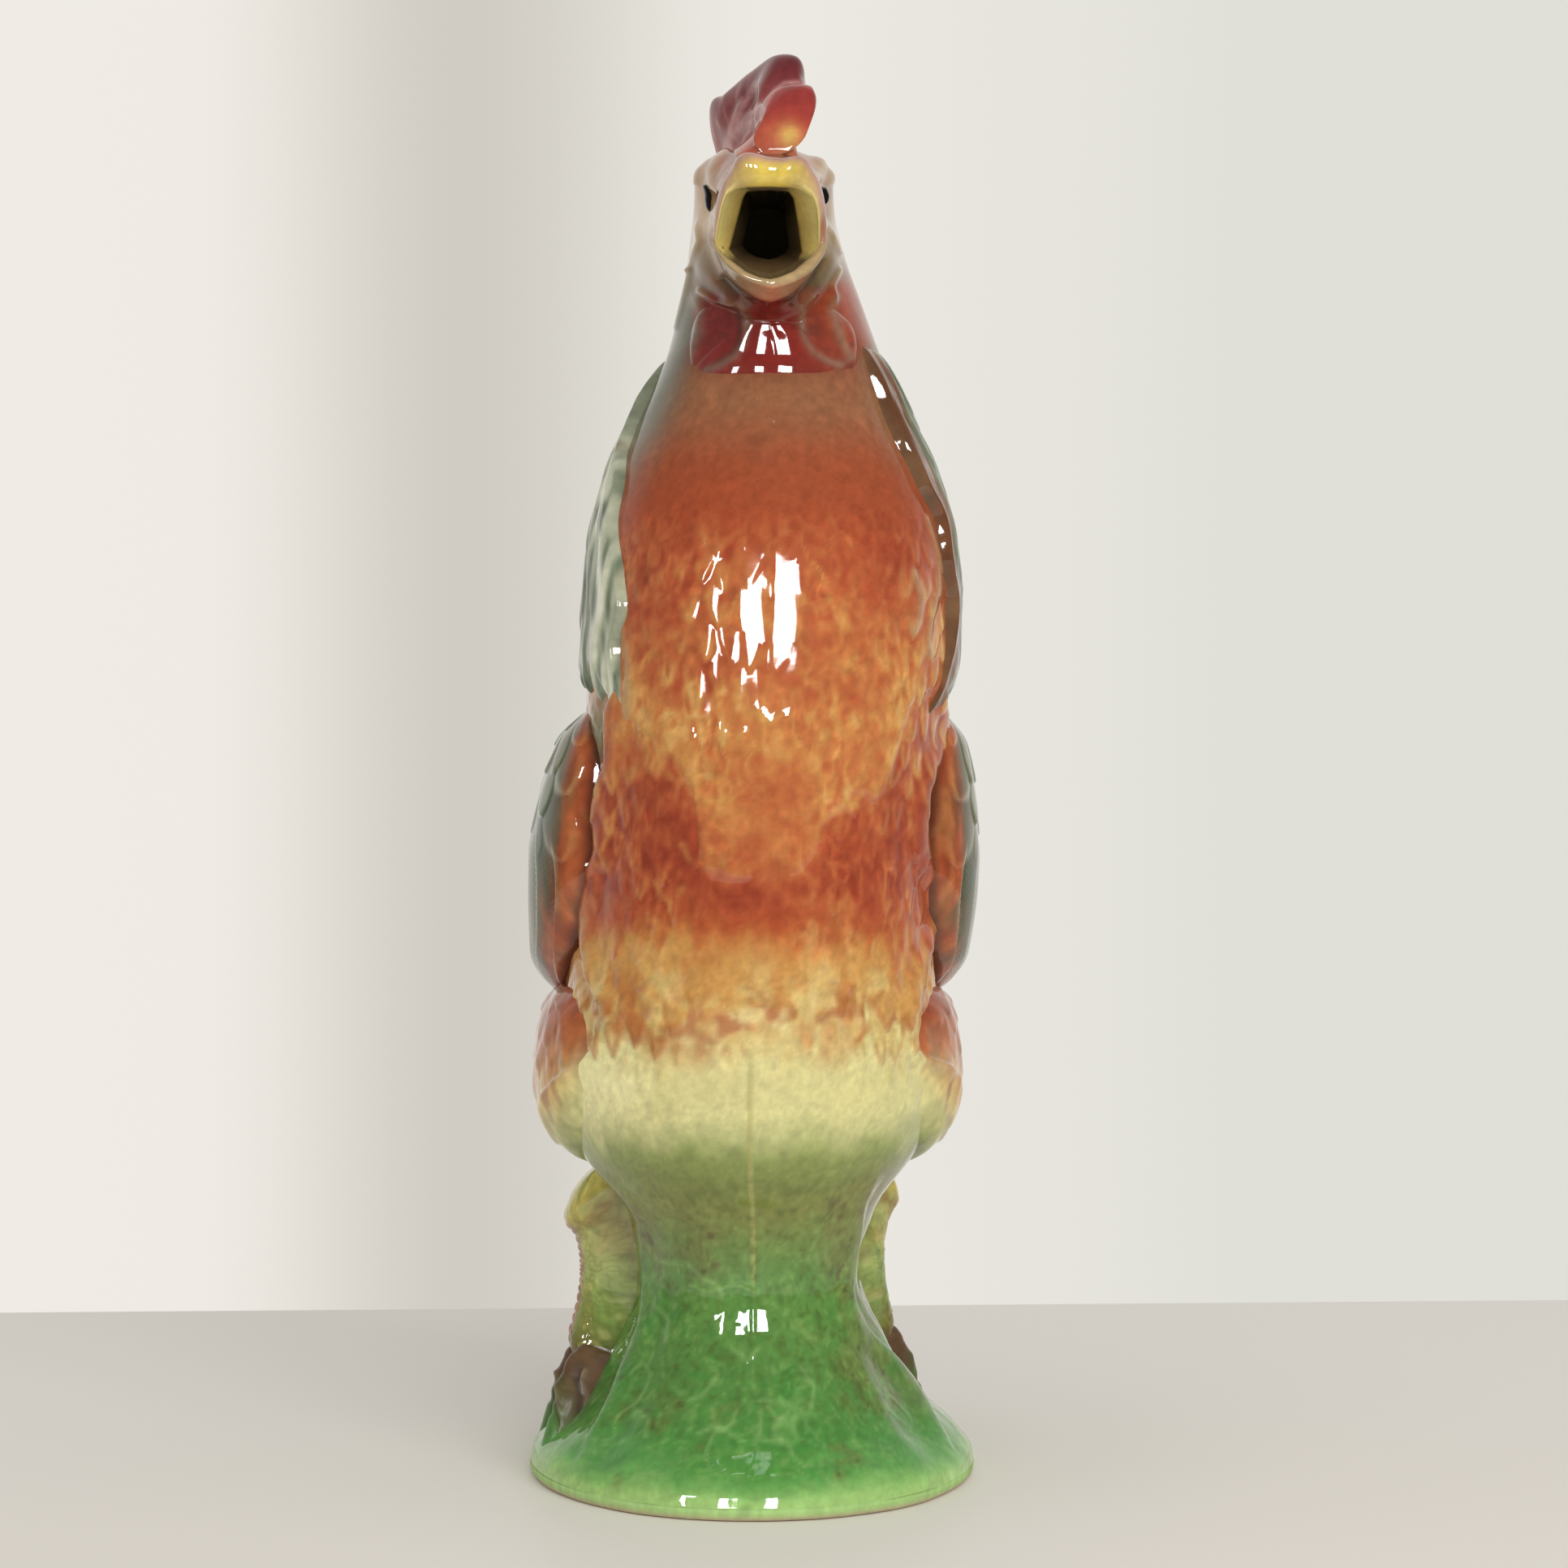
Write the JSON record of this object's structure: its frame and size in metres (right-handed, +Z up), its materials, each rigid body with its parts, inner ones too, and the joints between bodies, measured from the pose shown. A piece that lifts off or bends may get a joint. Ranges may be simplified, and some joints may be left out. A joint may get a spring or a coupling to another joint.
{
  "type": "chicken pitcher",
  "caption": "Standing cockerel pitcher in glazed earthenware: hollow body on a flared base, open beak as spout, loop handle behind the neck.",
  "frame": {"origin": "centre of the foot's flat face, on the table", "axes": "+Z up, the bird faces -Y, and +X is the bird's left"},
  "size_m": [0.1153, 0.163, 0.3501],
  "materials": {
    "foot_clay": "unglazed, fine-grained",
    "base_glaze": "glossy mottled green",
    "body_glaze": "glossy orange-red running to cream, feathers in relief",
    "neck_glaze": "glossy orange-red",
    "head_glaze": "glossy cream and pink",
    "beak_glaze": "glossy yellow, gilded inside",
    "comb_glaze": "glossy maroon to red",
    "wattle_glaze": "glossy dark red",
    "eye_glaze": "glossy black",
    "hackle_glaze": "glossy grey-green with streaks",
    "wing_glaze": "glossy slate green, orange at the front",
    "thigh_glaze": "glossy orange to cream",
    "leg_glaze": "glossy olive, scaled",
    "toe_glaze": "glossy brown to green",
    "tail_glaze": "glossy dark green, feathers in relief",
    "handle_glaze": "glossy olive green"
  },
  "bodies": {
    "root": {"foot": "foot_clay", "base": "base_glaze", "body": "body_glaze", "neck": "neck_glaze", "head": "head_glaze", "upper_beak": "beak_glaze", "lower_beak": "beak_glaze", "comb": "comb_glaze", "left_wattle": "wattle_glaze", "right_wattle": "wattle_glaze", "throat_lappet": "wattle_glaze", "left_eye": "eye_glaze", "right_eye": "eye_glaze", "hackle_cape": "hackle_glaze", "left_wing": "wing_glaze", "right_wing": "wing_glaze", "left_thigh": "thigh_glaze", "right_thigh": "thigh_glaze", "left_leg": "leg_glaze", "right_leg": "leg_glaze", "left_foot": "toe_glaze", "right_foot": "toe_glaze", "tail": "tail_glaze", "handle": "handle_glaze"}
  },
  "joints": []
}
